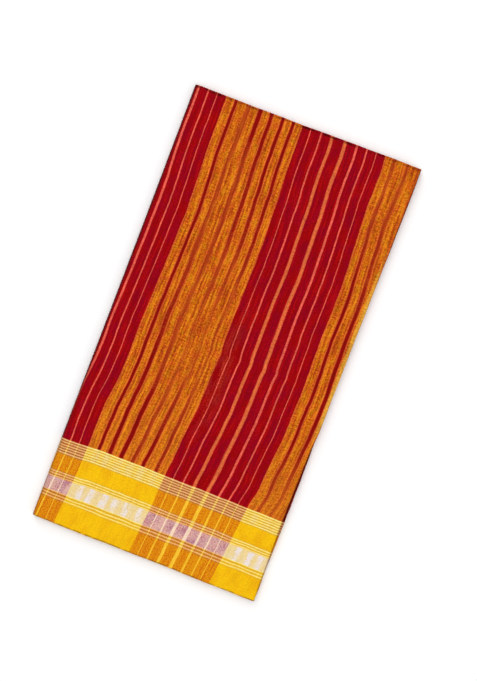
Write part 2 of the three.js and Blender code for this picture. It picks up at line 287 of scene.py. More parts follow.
BOW_RIGHT = [
    -15.6, -9.5, -3.9, 0.7, 1.3, 1.9, 3.3, 4.4, 6.2, 6.7, 7.6, 7.1, 6.2,
    5.6, 6.3, 4.7, 2.6, 2.0, 0.8, 0.0, -0.4, -0.4, -0.7, -2.4, -2.5,
]  # fmt: skip
BOW_STEPS = 400  # of the finer table that the bow is smoothed in
BOW_SMOOTHING = 4.0  # in those steps
BOW_LEFT_TO_MIDDLE, BOW_MIDDLE_TO_RIGHT = (0.05, 0.45), (0.5, 0.9)  # shares of the pile's width
STORAGE_KINK = (0.472, 0.010, 1.1)  # share of the width, how wide, how far
KINK_STARTS, KINK_ENDS = (0.15, 0.45), (0.75, 0.92)  # shares of the pile's width
LEFT_PULL = (1.2, 0.03, 0.10)  # by the closed fold: how far more, whole to here, none from here

# How far the border's lines come nearer the selvage, at shares of the pile's width.
LINES_AT = [0.02, 0.20, 0.38, 0.57, 0.75, 0.95]
LINES_DROP = [1.8, -0.6, -0.8, 0.1, -0.2, 0.1]
DROP_STARTS, DROP_ENDS = (25, 60), (125, 220)  # in millimetres from the selvage

# How much of that bow other parts of the cloth follow, by their place along it.
BOW_ALONG = [-400, -30, 320, 700, 1150, 1600, 2100, 2700, 3300, 4000, 4800, 5600]
BOW_FOLLOWS = [-0.4, 1.0, 1.0, -0.3, 0.4, 0.7, -0.4, 0.5, -0.2, 0.6, 0.1, 0.5]


def linear(colour):
    """A colour as light, from a colour as a picture holds it, both from 0 to 1."""
    return [c / 12.92 if c <= 0.04045 else ((c + 0.055) / 1.055) ** 2.4 for c in colour]


# ---- Sizes and colours a user would change ----


def colour_property(name, description, red, green, blue):
    """A colour as a picture holds it, up to 255."""
    return bpy.props.FloatVectorProperty(
        name=name,
        description=description,
        subtype="COLOR_GAMMA",
        size=3,
        min=0.0,
        max=1.0,
        default=(red / 255, green / 255, blue / 255),
    )


def number_property(name, description, default, **settings):
    return bpy.props.FloatProperty(
        name=name, description=description, min=0.0, default=default, **settings
    )


def length_property(name, description, default):
    return number_property(name, description, default, subtype="DISTANCE", unit="LENGTH")


class SareeCloth(bpy.types.PropertyGroup):
    """How thick the cloth is and how lively its surface"""

    leaf_thickness: length_property("Leaf", "Thickness of one doubled leaf", 0.00058)
    thread_relief: length_property("Thread relief", "Depth of the weave's relief", 0.00022)
    wrinkles: number_property("Wrinkles", "Strength of the fine creases", 1.0)
    mottling: number_property("Mottling", "Unevenness of the threads' dye", 1.0)


class SareeColours(bpy.types.PropertyGroup):
    """The colours that the threads make where they cross"""

    red: colour_property("Red", "Red body", 156, 2, 6)
    plum: colour_property("Plum", "Cooler patches in the red", 146, 0, 25)
    scarlet: colour_property("Scarlet", "Warmer patches in the red", 172, 10, 10)
    gold: colour_property("Gold", "Gold weft on red warp", 202, 98, 12)
    rust: colour_property("Rust", "Gold where the red warp is thick", 204, 82, 24)
    olive: colour_property("Olive gold", "Gold where the warp is thin", 198, 116, 14)
    gold_deep: colour_property("Deep gold", "Hollows between the threads", 156, 56, 8)
    gold_light: colour_property("Light gold", "Thick gold threads", 224, 134, 28)
    rim: colour_property("Gap's rim", "Weft crowded beside a gap", 226, 102, 50)
    thin: colour_property("Thin weft", "Weft thinning out at a gap", 166, 34, 10)
    gap: colour_property("Gap", "Red warp left bare", 136, 5, 5)
    haze: colour_property("Haze", "Gold showing faintly in the red", 176, 54, 26)
    fine_line: colour_property("Fine line", "Fine lines in the red", 238, 100, 80)
    broad_line: colour_property("Broad line", "Broader lines in the red", 220, 98, 62)
    line_core: colour_property("Line's core", "Middle of a broader line", 222, 110, 54)
    yellow: colour_property("Yellow", "Border's yellow warp on gold", 249, 194, 14)
    orange: colour_property("Orange", "Border's yellow warp on red", 226, 136, 14)
    burnt_orange: colour_property("Burnt orange", "Red weft between it", 196, 88, 12)
    bright_line: colour_property("Bright line", "Lines in the border", 254, 204, 60)
    white: colour_property("White", "Border's white warp on gold", 240, 211, 140)
    lilac_white: colour_property("Lilac white", "White warp left bare", 240, 228, 226)
    mauve: colour_property("Mauve", "Border's white warp on red", 222, 160, 152)
    deep_mauve: colour_property("Deep mauve", "Red weft between it", 178, 104, 124)
    cream: colour_property("Cream", "Lines across the white band", 252, 222, 196)
    pale: colour_property("Pale line", "Pale border lines on gold", 254, 236, 142)
    rose: colour_property("Rose line", "Pale border lines on red", 242, 186, 132)
    rose_ground: colour_property("Rose ground", "Cloth between rose lines", 190, 86, 38)
    olive_line: colour_property("Olive line", "Dark border lines on gold", 208, 166, 56)
    umber_line: colour_property("Umber line", "Dark border lines on red", 158, 104, 56)
    # Painted shade: dense selvage threads, made darker to stand for the shade between the stacked
    # leaves' edges.
    cord_and_painted_shade: colour_property("Selvage cord", "Dense threads at the selvage", 126, 84, 10)
    # Painted shade: the dark colour laid beside the halving crease and round the bends, where the
    # cloth lies in shadow.
    wear_and_painted_shade: colour_property("Worn crease", "Dark edge of the halving crease", 70, 6, 3)
    # A paler cream laid along the edge of the top turn.
    pale_rim: colour_property("Faded fold", "Faded edge of the top turn", 238, 196, 74)


class SareeStage(bpy.types.PropertyGroup):
    """Where the camera is and how the scene is lit"""

    turn: number_property(
        "Turn", "How far the pile is turned", math.radians(21.0), subtype="ANGLE", unit="ROTATION"
    )
    view_height: length_property("View height", "Height of cloth plane in the picture", 0.8604)
    across: length_property("Across", "Pile's middle left of the picture's middle", 0.01605)
    down: length_property("Down", "Pile's middle below the picture's middle", 0.00272)
    lens: number_property("Lens", "Focal length in millimetres", 85.0)
    sky: number_property("Sky", "Light from all round", 0.42)
    key_power: number_property("Key", "Power of the main soft light", 62.0, unit="POWER")
    floor: colour_property("Floor", "Pale floor", 250, 250, 250)


# ---- The pile's outline and the height of its top ----


def blend(a, b, share):
    return a + (b - a) * share


def smooth(low, high, value):
    t = np.clip((value - low) / (high - low), 0.0, 1.0)
    return t * t * (3 - 2 * t)


def soft_curve(places, values, at):
    """The values at their places, level there and changing softly between them."""
    result = values[0]
    for n in range(len(places) - 1):
        result = result + (values[n + 1] - values[n]) * smooth(places[n], places[n + 1], at)
    return result


def waver(edge, place):
    size, turns, start = WAVER[edge]
    return size * np.sin(2 * np.pi * (turns * place + start))


def side_edge(side, along):
    near, far = CORNERS[f"near_{side}"][0], CORNERS[f"far_{side}"][0]
    return blend(near, far, along) + waver(side, along)


def left_edge(along):
    return side_edge("left", along)


def right_edge(along):
    return side_edge("right", along)


def straight_end(end, share):
    return blend(CORNERS[f"{end}_left"][1], CORNERS[f"{end}_right"][1], share)


def across_share(x):
    near_left, near_right = CORNERS["near_left"][0], CORNERS["near_right"][0]
    return (x - near_left) / (near_right - near_left)


def near_edge(x):
    share = across_share(x)
    drawn_in = waver("near", share) + soft_curve(DRAWN_AT, DRAWN_NEAR, share)
    return straight_end("near", share) + drawn_in


def far_edge(x):
    share = across_share(x)
    return straight_end("far", share) - soft_curve(DRAWN_AT, DRAWN_FAR, share)


def station_y(x, along):
    return blend(near_edge(x), far_edge(x), along)


def crease_height(crease, x, y):
    """Height of one soft crease, which dies away to its sides and past its ends."""
    x1, y1, x2, y2, height, width = crease
    dx, dy = x2 - x1, y2 - y1
    length = math.hypot(dx, dy)
    run = ((x - x1) * dx + (y - y1) * dy) / length
    off = ((x - x1) * dy - (y - y1) * dx) / length
    past = np.maximum(np.maximum(-run, run - length), 0.0)
    return height * np.exp(-(off * off + past * past) / (2 * width**2))


def pile_top(x, y):
    along = (y - near_edge(x)) / (far_edge(x) - near_edge(x))
    distance = {
        "left": x - left_edge(along),
        "right": right_edge(along) - x,
        "near": y - near_edge(x),
        "far": far_edge(x) - y,
    }
    z = np.full(np.shape(x), PILE_HEIGHT)
    for side, (rise, reach) in FULLNESS.items():
        z = z + rise * np.exp(-np.maximum(distance[side], 0.0) / reach)
    for crease in CREASES:
        z = z + crease_height(crease, x, y)
    return z


def fine_relief(x, y):
    """The top leaf's own small creases, and a slight unevenness all over."""
    z = sum(crease_height(crease, x, y) for crease in FINE_CREASES)
    z = z + 0.05 * np.sin(x / 7.1 + 1.3 * np.sin(y / 31.0)) * np.sin(y / 11.3 + 0.7)
    z = z + 0.04 * np.sin((x + 0.6 * y) / 9.7 + 2.0) * np.sin((y - 0.3 * x) / 17.9)
    return z


# ---- The folded cloth: where its leaves, turns and spines lie ----


def reach(leaf, along):
    """How far right a leaf's turn or free end comes."""
    leaves = EDGE_OF[leaf]
    out, wave, turns, _ = RIGHT_EDGES[leaves]
    edge = right_edge(along) + out + wave * np.sin(2 * np.pi * turns * along)
    if leaves in TURNS_OUT:
        edge = edge + soft_curve(*TURNS_OUT[leaves], along)
    if leaves == (18,):
        edge = edge + waver("hem", along)
    liveliness = 0.4 if leaves == (1, 2) else 1.0
    edge = edge + liveliness * 0.22 * np.sin(2 * np.pi * (7.3 * along + 0.37 * leaves[0]))
    return edge + liveliness * 0.14 * np.sin(2 * np.pi * (13.1 * along + 0.61 * leaves[0]))


def pressed_height(leaf, top):
    if leaf in PRESSED_SINK:
        return top - PRESSED_SINK[leaf]
    if leaf == LEAF_COUNT:
        return np.full(np.shape(top), SEAT)
    layer = (top - PRESSED_TOP - PRESSED_BOTTOM) / PRESSED_LAYERS
    return PRESSED_BOTTOM + PRESSED_SEAT[leaf] * layer


def leaf_height(leaf, x, along, wrinkles):
    """The height of a leaf's middle at places x, at each station along the pile."""
    left, right = left_edge(along), right_edge(along)
    level = np.clip(x, left + SPINE_DEPTH, right - LIP_RUN)
    top = pile_top(level, station_y(level, along))
    seat = 1 - (SEAT + (leaf - 1) * PITCH) / PILE_HEIGHT
    pressed = smooth(right - EDGE_RUN, right - PRESSED_AT, x)
    z = blend(top * seat, pressed_height(leaf, top), pressed)
    shows = max(2 * seat - 1, 0.0) ** 2 * wrinkles
    window = smooth(left + SPINE_DEPTH, left + 22, x) * (1 - smooth(right - 18, right - 8, x))
    return z + shows * window * fine_relief(x, station_y(x, along))


def leaf_rows(leaf, along, columns, edge_columns, thickness, wrinkles):
    """A leaf's middle from the closed fold to its right-hand end, a row for each column."""
    start = left_edge(along) + SPINE_DEPTH
    bend = right_edge(along) - EDGE_RUN
    depth = RIGHT_EDGES[EDGE_OF[leaf]][3]
    end = reach(leaf, along) - depth - thickness / 2
    level = [blend(start, bend, share) for share in np.linspace(0, 1, columns)]
    pressed = [blend(bend, end, share) for share in np.linspace(0, 1, edge_columns + 1)[1:]]
    x = np.array(level + pressed)
    return x, leaf_height(leaf, x, along, wrinkles)


def bend_rows(upper_end, lower_end, steps):
    """A half round between two leaves' ends: where it starts, how far out it has come at
    each step as a share of its depth, and its height there."""
    (x, high), (_, low) = upper_end, lower_end
    angles = np.radians(np.linspace(90, -90, steps + 2)[1:-1])[:, None]
    middle, half = (high + low) / 2, (high - low) / 2
    return x, np.cos(angles), middle + half * np.sin(angles)


def turn_rows(upper_end, lower_end, leaves, steps):
    """The bend that joins two leaves on the right, from the upper one to the lower one."""
    x, out, z = bend_rows(upper_end, lower_end, steps)
    return x + RIGHT_EDGES[leaves][3] * out, z


def spine_rows(upper_end, lower_end, stretch, along, steps):
    """The bend of a stretch round the closed fold, from its upper leaf to its lower one."""
    x, out, z = bend_rows(upper_end, lower_end, steps)
    depth = SPINE_DEPTH - SEAT - (stretch - 1) * SPINE_STEP
    depth = depth + 0.12 * np.sin(2 * np.pi * (3.1 * along + 0.29 * stretch)) * min(stretch - 1, 1)
    return x - depth * out**SPINE_ROUND, z


class Route:
    """The cloth's middle from its free end under the pile to its free end inside it.

    x and z have a row for each place along the cloth and a column for each station along
    the pile. span gives the rows of each leaf, turn and spine, and fold is how much shade is
    painted into the colour on a bend, where the cloth lies in shadow."""

    def __init__(self, stretches, stations, columns, edge_columns, thickness, wrinkles):
        self.along = np.linspace(0, 1, stations)
        self.x, self.z, self.span, self.count = [], [], {}, 0
        shape = {}
        for leaf in range(1, LEAF_COUNT + 1):
            count = columns.get(leaf, columns["rest"])
            shape[leaf] = leaf_rows(leaf, self.along, count, edge_columns, thickness, wrinkles)
        for stretch in range(1, stretches + 1):
            upper, lower = stretch, LEAF_COUNT + 1 - stretch
            rising = stretch % 2 == 1
            first, last = (lower, upper) if rising else (upper, lower)
            ends = [(shape[leaf][0][0], shape[leaf][1][0]) for leaf in (upper, lower)]
            spine = spine_rows(*ends, stretch, self.along, columns["spine"])
            self.put(("leaf", first), shape[first], backwards=True)
            self.put(("spine", stretch), spine, backwards=rising)
            self.put(("leaf", last), shape[last])
            if stretch < STRETCH_COUNT:
                leaves = (stretch, stretch + 1) if rising else (lower - 1, lower)
                ends = [(shape[leaf][0][-1], shape[leaf][1][-1]) for leaf in leaves]
                turn = turn_rows(*ends, leaves, columns["turn"])
                self.put(("turn", leaves), turn, backwards=not rising)
        self.x, self.z = np.concatenate(self.x), np.concatenate(self.z)
        middle = stations // 2
        step = np.hypot(np.diff(self.x[:, middle]), np.diff(self.z[:, middle]))
        length = np.concatenate([[0], np.cumsum(step)])
        top_left = self.span["leaf", 1][0]
        self.length = length - length[top_left] + SPINE_DEPTH
        # Painted shade round the bends: the colour is darkened there, where the leaves' edges lie
        # in shadow.
        self.fold = np.zeros(self.count)
        for bend, (run, shade) in FOLD_SHADE.items():
            if bend in self.span:
                past = np.abs(self.length - self.length[sum(self.span[bend]) // 2])
                darkened = shade * (1 - smooth(0.6 * run, 1.5 * run, past))
                self.fold = np.maximum(self.fold, darkened)

    def put(self, name, rows, backwards=False):
        x, z = (part[::-1] if backwards else part for part in rows)
        self.x.append(x)
        self.z.append(z)
        self.span[name] = (self.count, self.count + len(x))
        self.count += len(x)

    def end_knots(self):
        """Places along the cloth near both ends of each leaf, and which leaf it is."""
        knots = []
        for (kind, leaf), (start, stop) in self.span.items():
            if kind == "leaf":
                a, b = self.length[start], self.length[stop - 1]
                knots += [(blend(a, b, 0.1), leaf), (blend(a, b, 0.9), leaf)]
        return sorted(knots)


def end_offsets(route, length):
    """How far the cloth stands out past the outline, near and far, at places along it."""
    places = [place for place, _ in route.end_knots()]
    near, far = (
        np.interp(length, places, [LEAF_ENDS[leaf][end] for _, leaf in route.end_knots()])
        for end in (0, 1)
    )
    near = near + 0.16 * np.sin(length / 17.0 + 1.0) + 0.10 * np.sin(length / 6.9 + 2.3)
    near = near + 0.05 * np.sin(length / 3.1)
    far = far + 0.14 * np.sin(length / 21.0 + 0.4) + 0.08 * np.sin(length / 8.3 + 1.1)
    return near, far


def lower_ply_out(length):
    """How far the lower of a leaf's two selvages stands out from under the upper one."""
    return 0.30 + 0.42 * np.sin(length / 22.0 - 2.0) + 0.16 * np.sin(length / 9.0 + 0.5)


def bow(length, across, width_share):
    """How far the stripes are bowed, by the place along the cloth, on the pile and in width."""
    fine = np.linspace(0, 1, BOW_STEPS + 1)
    side = round(3 * BOW_SMOOTHING)
    kernel = np.exp(-0.5 * (np.arange(-side, side + 1) / BOW_SMOOTHING) ** 2)
    kernel /= kernel.sum()
    curves = []
    for column in (BOW_LEFT, BOW_MIDDLE, BOW_RIGHT):
        values = np.interp(fine, BOW_SHARES, column)
        padded = np.pad(values, side, mode="reflect", reflect_type="odd")
        curves.append(np.interp(width_share, fine, np.convolve(padded, kernel, mode="valid")))
    left, middle, right = curves
    bowed = blend(left, middle, smooth(*BOW_LEFT_TO_MIDDLE, across))
    bowed = blend(bowed, right, smooth(*BOW_MIDDLE_TO_RIGHT, across))
    place, width, size = STORAGE_KINK
    kinked = smooth(*KINK_STARTS, across) * (1 - smooth(*KINK_ENDS, across))
    bowed = bowed + size * kinked * np.exp(-(((width_share - place) / width) ** 2))
    pull, whole, none = LEFT_PULL
    pulled = (1 - smooth(whole, none, across)) * smooth(0.0, 0.16, width_share)
    return (bowed + pull * pulled) * np.interp(length, BOW_ALONG, BOW_FOLLOWS)


# ---- The folded cloth as closed meshes ----


def thickness_loop(stations):
    """The closed loop round a leaf, from the notch between its two selvages, over its upper
    face, round its halving crease and back under it. Its columns are the station, the push
    away from the station along the pile, the rise in half thicknesses, and the lower ply."""
    last = stations - 1
    upper = [(j, 0.12 if j == 0 else 0.0, 1.0, 0.0) for j in range(stations)]
    lower = [(j, 0.12 if j == 0 else 0.0, -1.0, float(j == 0)) for j in range(last, -1, -1)]
    near_upper = [(0, 0.6, 0.0, 0.5), (0, 0.0, 0.2, 0.0), (0, -0.1, 0.5, 0.0), (0, -0.02, 0.8, 0.0)]
    near_lower = [(0, -0.02, -0.8, 1.0), (0, -0.1, -0.5, 1.0), (0, 0.0, -0.2, 1.0)]
    far = [(last, 0.14, 0.75, 0.0), (last, 0.26, 0.0, 0.0), (last, 0.14, -0.75, 0.0)]
    return np.array(near_upper + upper + far + lower + near_lower)


def ribbon(route, first, stop):
    """One stretch of the folded cloth: its points, its faces, and for each point its place in
    the weave and how much shade is painted into its colour, or how much paler it is made where that
    is below 0."""
    thickness = bpy.context.scene.saree_cloth.leaf_thickness / MM
    rows = slice(first, stop)
    x, z, length = route.x[rows], route.z[rows], route.length[rows]
    tangent_x, tangent_z = np.gradient(x, axis=0), np.gradient(z, axis=0)
    size = np.hypot(tangent_x, tangent_z)
    normal_x, normal_z = -tangent_z / size, tangent_x / size

    loop = thickness_loop(len(route.along))
    station, push, rise, lower = loop[:, 0].astype(int), loop[:, 1], loop[:, 2], loop[:, 3]
    along = route.along[station]
    half = np.full(len(length), thickness / 2)
    half[[0, -1]] *= END_THINNED
    offset = half[:, None] * rise[None, :]
    middle = x[:, station]
    near_out, far_out = end_offsets(route, length)
    near = near_edge(middle) - near_out[:, None]
    far = far_edge(middle) + far_out[:, None]
    points = np.stack(
        [
            middle + normal_x[:, station] * offset,
            blend(near, far, along[None, :])
            + push[None, :]
            - lower[None, :] * lower_ply_out(length)[:, None],
            z[:, station] + normal_z[:, station] * offset,
        ],
        axis=-1,
    )
    left, right = left_edge(along)[None, :], right_edge(along)[None, :]
    across = np.clip((middle - left) / (right - left), 0, 1)
    bowed = bow(length[:, None], across, along[None, :])
    chart = length[:, None] + LEFT_EDGE_AT - bowed
    width = np.broadcast_to(along * CLOTH_WIDTH, chart.shape)
    near_border = smooth(*DROP_STARTS, width) * (1 - smooth(*DROP_ENDS, width))
    width = width + soft_curve(LINES_AT, LINES_DROP, across) * near_border

    count, round_it = len(length), len(loop)
    index = np.arange(count * round_it).reshape(count, round_it)
    ahead = np.roll(index, -1, axis=1)
    quads = np.stack([index[:-1], ahead[:-1], ahead[1:], index[1:]], axis=-1).reshape(-1, 4)
    faces = quads.tolist()
    for row, turned in ((index[0], True), (index[-1], False)):
        faces += end_faces(row.tolist(), turned)
    # A paler cream along the top turn's edge, over part of the pile's length.
    past = length - route.length[route.span["leaf", 1][1]]
    edge = smooth(-PALE_RIM_RUN, -0.4 * PALE_RIM_RUN, past) * (1 - smooth(1.0, 3.0, past))
    pale_rim = edge[:, None] * smooth(*PALE_RIM_FROM, along) * (1 - smooth(*PALE_RIM_TO, along))
    # Painted shade of the bends, held as a value per point.
    fold = route.fold[rows][:, None] * (1 - pale_rim) - PALE_RIM_SHARE * pale_rim
    woven = np.stack([chart, width, fold], axis=-1).reshape(-1, 3)
    return points.reshape(-1, 3), faces, woven


def end_faces(row, turned):
    """Closes the end of a ribbon, whose loop is the same above and below."""
    count = len(row)
    faces = [[row[0], row[1], row[-1]]]
    for k in range(1, count // 2 - 1):
        faces.append([row[k], row[k + 1], row[count - k - 1], row[count - k]])
    k = count // 2 - 1
    faces.append([row[k], row[k + 1], row[k + 2]])
    return [face[::-1] for face in faces] if turned else faces


def cloth_piece(name, route, spans):
    """Joins the route's ribbons over those rows into one mesh object in metres, with its place
    in the weave as a UV map."""
    points, faces, woven, start = [], [], [], 0
    for ribbon_points, ribbon_faces, ribbon_woven in (ribbon(route, *span) for span in spans):
        points.append(ribbon_points)
        faces += [[v + start for v in face] for face in ribbon_faces]
        woven.append(ribbon_woven)
        start += len(ribbon_points)
    points, woven = np.concatenate(points) * MM, np.concatenate(woven)
    chart = woven[:, :2] * MM
    mesh = bpy.data.meshes.new(name)
    mesh.from_pydata(points.tolist(), [], faces)
    layer = mesh.uv_layers.new(name="weave")
    corner = np.zeros(len(mesh.loops), np.int32)
    mesh.loops.foreach_get("vertex_index", corner)
    layer.data.foreach_set("uv", chart[corner].astype(np.float32).ravel())
    fold = mesh.attributes.new("fold", "FLOAT", "POINT")
    fold.data.foreach_set("value", woven[:, 2].astype(np.float32))
    mesh.materials.append(cotton())
    if mesh_volume(mesh) < 0:
        mesh.flip_normals()
    mesh.validate()
    piece = bpy.data.objects.new(name, mesh)
    bpy.context.scene.collection.objects.link(piece)
    bpy.ops.object.select_all(action="DESELECT")
    piece.select_set(True)
    bpy.context.view_layer.objects.active = piece
    bpy.ops.object.shade_smooth_by_angle(angle=math.radians(60))
    return piece


def mesh_volume(mesh):
    mesh.calc_loop_triangles()
    triangles = np.zeros(len(mesh.loop_triangles) * 3, np.int32)
    mesh.loop_triangles.foreach_get("vertices", triangles)
    points = np.zeros(len(mesh.vertices) * 3, np.float32)
    mesh.vertices.foreach_get("co", points)
    a, b, c = points.reshape(-1, 3).astype(float)[triangles.reshape(-1, 3)].transpose(1, 0, 2)
    return float((a * np.cross(b, c)).sum() / 6)


def folded_route(stations, edge_columns, stretches=STRETCH_COUNT, columns=None):
    """The folded cloth at so many stations along the pile, with the columns of each part."""
    cloth = bpy.context.scene.saree_cloth
    columns = columns or {"rest": 15, "spine": 9, "turn": 5}
    thickness = cloth.leaf_thickness / MM
    return Route(stretches, stations, columns, edge_columns, thickness, cloth.wrinkles)


# ---- The cotton ----


class Nodes:
    """Adds nodes to a material, each with a short call."""

    def __init__(self, tree):
        self.tree = tree

    def add(self, kind, inputs=None, **settings):
        """A node with its settings, and with a number, a colour or a link in its inputs."""
        node = self.tree.nodes.new(kind)
        for name, value in settings.items():
            setattr(node, name, value)
        for name, value in (inputs or {}).items():
            if isinstance(value, bpy.types.NodeSocket):
                self.tree.links.new(value, node.inputs[name])
            else:
                node.inputs[name].default_value = value
        return node

    def math(self, operation, *values):
        node = self.add("ShaderNodeMath", dict(enumerate(values)), operation=operation)
        return node.outputs[0]

    def chain(self, operation, values):
        """The operation on the first two values, then on its result and the next one."""
        result = values[0]
        for value in values[1:]:
            result = self.math(operation, result, value)
        return result

    def times(self, *values):
        return self.chain("MULTIPLY", values)

    def plus(self, *values):
        return self.chain("ADD", values)

    def most(self, *values):
        return self.chain("MAXIMUM", values)

    def minus(self, a, b):
        return self.math("SUBTRACT", a, b)

    def total(self, *weighted):
        """Several noises added about their middle, each with its weight."""
        result = 0.5 - sum(weight for _, weight in weighted) / 2
        for noise, weight in weighted:
            result = self.math("MULTIPLY_ADD", noise, weight, result)
        return result

    def span(self, value, low, high, start=0.0, end=1.0, soft=True):
        """start below low, end above high and a smooth change between them."""
        kind = "SMOOTHSTEP" if soft else "LINEAR"
        inputs = dict(enumerate((value, low, high, start, end)))
        return self.add("ShaderNodeMapRange", inputs, interpolation_type=kind).outputs[0]

    def stripe(self, place, centre, width, soft):
        """1 within a stripe of that width and 0 away from it."""
        off = self.math("ABSOLUTE", self.minus(place, centre))
        return self.span(off, max(width / 2 - soft / 2, 0.0), width / 2 + soft / 2, 1.0, 0.0)

    def band(self, place, low, high, soft):
        """1 between two places and 0 away from them."""
        return self.stripe(place, (low + high) / 2, high - low, soft)

    def mix(self, share, a, b):
        colours = [c if isinstance(c, bpy.types.NodeSocket) else (*linear(c), 1.0) for c in (a, b)]
        inputs = {0: share, 6: colours[0], 7: colours[1]}
        settings = {"data_type": "RGBA", "clamp_factor": True}
        return self.add("ShaderNodeMix", inputs, **settings).outputs[2]

    def layers(self, colour, *layers):
        """A colour under others, each laid over what is below it by its share."""
        for share, over in layers:
            colour = self.mix(share, colour, over)
        return colour

    def scale(self, colour, factor):
        inputs = {0: colour, "Scale": factor}
        return self.add("ShaderNodeVectorMath", inputs, operation="SCALE").outputs[0]

    def noise(self, place, along, across, seed, detail=2.0, roughness=0.5):
        """Noise whose blotches are so long along the cloth and so wide across it."""
        moves = {0: place, 1: (1 / along, 1 / across, 0.0), 2: (seed * 17.3, seed * 9.1, 0.0)}
        moved = self.add("ShaderNodeVectorMath", moves, operation="MULTIPLY_ADD").outputs[0]
        inputs = {"Vector": moved, "Scale": 1.0, "Detail": detail, "Roughness": roughness}
        return self.add("ShaderNodeTexNoise", inputs, noise_dimensions="2D").outputs[0]

    def drift(self, place, along, across, seed, most):
        """How far something strays to either side, by such noise."""
        noise = self.noise(place, along, across, seed)
        return self.span(noise, 0.25, 0.75, -most, most, soft=False)

    def ramp(self, value, places, values):
        node = self.add("ShaderNodeValToRGB", {0: value})
        elements = node.color_ramp.elements
        elements[0].position, elements[1].position = places[0], places[-1]
        for place in places[1:-1]:
            elements.new(place)
        for element, number in zip(elements, values):
            element.color = (number, number, number, 1.0)
        return node.outputs[0]

    def surface(self, inputs):
        """The material's surface, from what goes into its shader."""
        shader = self.add("ShaderNodeBsdfPrincipled", inputs)
        self.add("ShaderNodeOutputMaterial", {"Surface": shader.outputs[0]})


def empty_material(name):
    """A new material, and the means to add its nodes."""
    material = bpy.data.materials.new(name)
    material.use_nodes = True
    material.node_tree.nodes.clear()
    return material, Nodes(material.node_tree)


class Threads:
    """Unevenness of the cloth's threads, each from 0 to 1 and about a half on average."""

    def __init__(self, n, place):
        self.weft = n.noise(place, 2.7, 48, 3, roughness=0.6)  # thick and thin weft threads
        self.warp = n.noise(place, 8, 2.1, 4, roughness=0.6)
        self.speck = n.noise(place, 2.1, 1.9, 5, detail=1.0)  # single crossings
        self.blotch = n.noise(place, 5.5, 11, 6, detail=1.0)
        self.patch = n.noise(place, 15, 24, 7, detail=1.0)
        self.fleck = n.noise(place, 1.5, 1.6, 11)  # where the border's colours cross


class Stripes:
    """Where the charted stripes lie, each from 0 to 1."""

    def __init__(self, n, run, width, place):
        at = n.math("WRAP", run, REPEAT, 0.0)
        other = n.span(n.math("WRAP", run, 2 * REPEAT, 0.0), REPEAT - 1, REPEAT)
        share = n.math("DIVIDE", width, CLOTH_WIDTH)
        self.gold = n.band(at, 0.0, GOLD_BAND, 0.9)
        unsteady = n.plus(at, n.drift(place, 40, 90, 8, 0.7))

        def charted(bands):
            """A value at shares of the width, in every other gold band and between them."""
            return n.mix(other, *(n.ramp(share, GAP_SHARES, values) for values in bands))

        shows = [charted(bands) for _, _, *bands in GAPS]
        at_gaps = []
        for bands in GAP_STRAYS:
            stray = charted([[0.5 + 0.5 * far / MOST_STRAY for far in band] for band in bands])
            stray = n.span(stray, 0.0, 1.0, -MOST_STRAY, MOST_STRAY, soft=False)
            at_gaps.append(n.minus(unsteady, stray))
        gaps = [self.gaps(n, at_gaps, shows, *form) for form in GAP_FORMS]
        self.gap, self.thin, self.rim, self.bare_white = gaps
        inset, *form = GOLD_RIM
        self.edge = n.most(*(n.stripe(at, side, *form) for side in (inset, GOLD_BAND - inset)))
        self.haze = n.stripe(at, *HAZE_ALONG)
        wear_and_painted_shade = n.span(n.noise(place, 4, 9, 9), 0.3, 0.7, 0.75, 1.0)
        forms = (("fine", 1.0), ("broad", 1.0), ("broad", LINE_CORE))
        self.fine, self.broad, self.core = (n.times(self.lines(n, at, *f), wear_and_painted_shade) for f in forms)

    @staticmethod
    def gaps(n, places, shows, share, plus, soft):
        """The gaps as stripes whose width is a share of each gap's, plus so much, and soft."""
        each = [
            n.times(n.stripe(at, centre, size * share + plus, soft), show)
            for (centre, size, *_), at, show in zip(GAPS, places, shows)
        ]
        return n.most(*each)

    @staticmethod
    def lines(n, at, wanted, share):
        chosen = [(place, size) for place, size, kind in LINES if kind == wanted]
        return n.most(*(n.stripe(at, place, size * share, 0.6) for place, size in chosen))


def body_colour(n, colours, stripes, threads, width):
    """The body's red warp throughout, with gold and red weft."""
    tone = n.total((threads.weft, 1.0), (threads.warp, 0.35), (threads.speck, 0.4))
    hue = n.total((threads.blotch, 0.8), (threads.weft, 0.6))
    ticked = n.span(threads.warp, 0.35, 0.62, 0.72, 1.0)
    broken = n.span(n.total((threads.warp, 0.7), (threads.speck, 0.7)), 0.36, 0.60, 0.62, 1.12)
    whole = n.span(stripes.gap, 0.70, 0.92, 0.0, 0.96)
    gold = n.layers(
        colours.gold,
        (n.span(hue, 0.30, 0.52, 0.8, 0.0), colours.rust),
        (n.span(hue, 0.50, 0.72, 0.0, 0.9), colours.olive),
        (n.span(tone, 0.30, 0.52, 0.6, 0.0), colours.gold_deep),
        (n.span(tone, 0.50, 0.70, 0.0, 0.6), colours.gold_light),
        (n.span(width, *GOLD_PALES, 0.34, 0.0), colours.gold_light),
        (n.times(stripes.edge, 0.55), colours.rim),
        (n.times(stripes.rim, 0.66), colours.rim),
        (n.times(stripes.thin, ticked), colours.thin),
        (n.most(n.times(stripes.gap, broken), whole), colours.gap),
    )

    cool = n.total((threads.patch, 0.6), (threads.warp, 0.5), (threads.speck, 0.6))
    warm = n.total((threads.weft, 0.8), (threads.speck, 0.5))
    patchy = n.span(n.total((threads.patch, 0.5), (warm, 0.7)), 0.35, 0.65)
    hazy = n.times(stripes.haze, n.stripe(width, *HAZE_ACROSS), patchy, 0.6)
    red = n.layers(
        colours.red,
        (n.span(cool, 0.40, 0.62), colours.plum),
        (n.span(warm, 0.52, 0.70, 0.0, 0.6), colours.scarlet),
        (hazy, colours.haze),
    )
    return n.layers(
        red,
        (stripes.gold, gold),
        (stripes.broad, colours.broad_line),
        (stripes.core, colours.line_core),
        (stripes.fine, colours.fine_line),
    )


